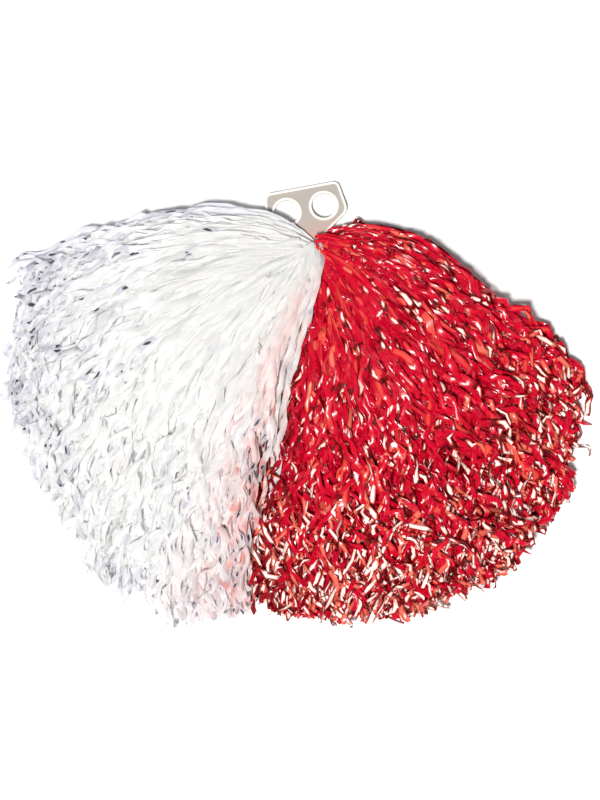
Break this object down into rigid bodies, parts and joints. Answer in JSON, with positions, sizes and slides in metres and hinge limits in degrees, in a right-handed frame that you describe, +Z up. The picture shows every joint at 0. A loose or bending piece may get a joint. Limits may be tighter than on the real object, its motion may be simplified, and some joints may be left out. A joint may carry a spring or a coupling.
{
  "type": "cheer pom pom",
  "caption": "Cheer pom pom lying on its back: a moulded two-hole finger plate whose crossbar carries a white hank and a red hank of slit plastic film streamers.",
  "frame": {"origin": "on the table the pom pom lies on, under the centre of its bounding box", "axes": "+Z up from the table, +Y towards the finger plate, +X towards the red hank, along the object's longest side"},
  "size_m": [0.5782, 0.4434, 0.058],
  "materials": {
    "plate_plastic": "moulded satin",
    "tie_nylon": "natural nylon",
    "white_film": "crinkled film",
    "red_film": "crinkled film"
  },
  "bodies": {
    "handle": {"finger_plate": "plate_plastic"},
    "white_hank": {"white_header_1": "white_film", "white_header_2": "white_film", "white_header_3": "white_film", "white_header_4": "white_film", "white_header_5": "white_film", "white_tie": "tie_nylon"},
    "white_fan": {"white_lower_streamers_1": "white_film", "white_lower_streamers_2": "white_film", "white_lower_streamers_3": "white_film", "white_lower_streamers_4": "white_film", "white_lower_streamers_5": "white_film"},
    "white_lift_1_streamers": {"white_upper_streamers_1": "white_film"},
    "white_lift_2_streamers": {"white_upper_streamers_2": "white_film"},
    "white_lift_3_streamers": {"white_upper_streamers_3": "white_film"},
    "white_lift_4_streamers": {"white_upper_streamers_4": "white_film"},
    "white_lift_5_streamers": {"white_upper_streamers_5": "white_film"},
    "red_hank": {"red_header_1": "red_film", "red_header_2": "red_film", "red_header_3": "red_film", "red_header_4": "red_film", "red_header_5": "red_film", "red_tie": "tie_nylon"},
    "red_fan": {"red_lower_streamers_1": "red_film", "red_lower_streamers_2": "red_film", "red_lower_streamers_3": "red_film", "red_lower_streamers_4": "red_film", "red_lower_streamers_5": "red_film"},
    "red_lift_1_streamers": {"red_upper_streamers_1": "red_film"},
    "red_lift_2_streamers": {"red_upper_streamers_2": "red_film"},
    "red_lift_3_streamers": {"red_upper_streamers_3": "red_film"},
    "red_lift_4_streamers": {"red_upper_streamers_4": "red_film"},
    "red_lift_5_streamers": {"red_upper_streamers_5": "red_film"}
  },
  "joints": [
    {"name": "white_hank_flip", "type": "hinge", "parent": "handle", "child": "white_hank", "pos_m": [0.0162, 0.1486, 0.0095], "axis": [-0.9833, -0.1822, 0], "range_deg": [0, 95]},
    {"name": "white_fan_swing", "type": "hinge", "parent": "white_hank", "child": "white_fan", "pos_m": [0.00571, 0.12428, 0.0095], "axis": [0, 0, -1], "range_deg": [0, 12]},
    {"name": "white_streamers_1_lift", "type": "hinge", "parent": "white_fan", "child": "white_lift_1_streamers", "pos_m": [-0.00745, 0.12532, 0.0098], "axis": [-0.032, 0.9995, 0], "range_deg": [0, 24]},
    {"name": "white_streamers_2_lift", "type": "hinge", "parent": "white_fan", "child": "white_lift_2_streamers", "pos_m": [-0.00713, 0.1212, 0.0098], "axis": [-0.4125, 0.911, 0], "range_deg": [0, 24]},
    {"name": "white_streamers_3_lift", "type": "hinge", "parent": "white_fan", "child": "white_lift_3_streamers", "pos_m": [-0.00543, 0.11719, 0.0098], "axis": [-0.6935, 0.7204, 0], "range_deg": [0, 24]},
    {"name": "white_streamers_4_lift", "type": "hinge", "parent": "white_fan", "child": "white_lift_4_streamers", "pos_m": [-0.00251, 0.11395, 0.0098], "axis": [-0.8765, 0.4814, 0], "range_deg": [0, 24]},
    {"name": "white_streamers_5_lift", "type": "hinge", "parent": "white_fan", "child": "white_lift_5_streamers", "pos_m": [0.00119, 0.11188, 0.0098], "axis": [-0.9665, 0.2568, 0], "range_deg": [0, 24]},
    {"name": "red_hank_flip", "type": "hinge", "parent": "handle", "child": "red_hank", "pos_m": [0.0162, 0.1486, 0.0095], "axis": [-0.9833, -0.1822, 0], "range_deg": [0, 95]},
    {"name": "red_fan_swing", "type": "hinge", "parent": "red_hank", "child": "red_fan", "pos_m": [0.03471, 0.12966, 0.0095], "axis": [0, 0, 1], "range_deg": [0, 12]},
    {"name": "red_streamers_1_lift", "type": "hinge", "parent": "red_fan", "child": "red_lift_1_streamers", "pos_m": [0.04785, 0.13092, 0.0098], "axis": [-0.459, -0.8884, 0], "range_deg": [0, 24]},
    {"name": "red_streamers_2_lift", "type": "hinge", "parent": "red_fan", "child": "red_lift_2_streamers", "pos_m": [0.04719, 0.12536, 0.0098], "axis": [-0.7044, -0.7098, 0], "range_deg": [0, 24]},
    {"name": "red_streamers_3_lift", "type": "hinge", "parent": "red_fan", "child": "red_lift_3_streamers", "pos_m": [0.04437, 0.12065, 0.0098], "axis": [-0.8594, -0.5113, 0], "range_deg": [0, 24]},
    {"name": "red_streamers_4_lift", "type": "hinge", "parent": "red_fan", "child": "red_lift_4_streamers", "pos_m": [0.03987, 0.11751, 0.0098], "axis": [-0.9682, -0.25, 0], "range_deg": [0, 24]},
    {"name": "red_streamers_5_lift", "type": "hinge", "parent": "red_fan", "child": "red_lift_5_streamers", "pos_m": [0.0346, 0.11646, 0.0098], "axis": [-0.9983, 0.0585, 0], "range_deg": [0, 24]}
  ]
}
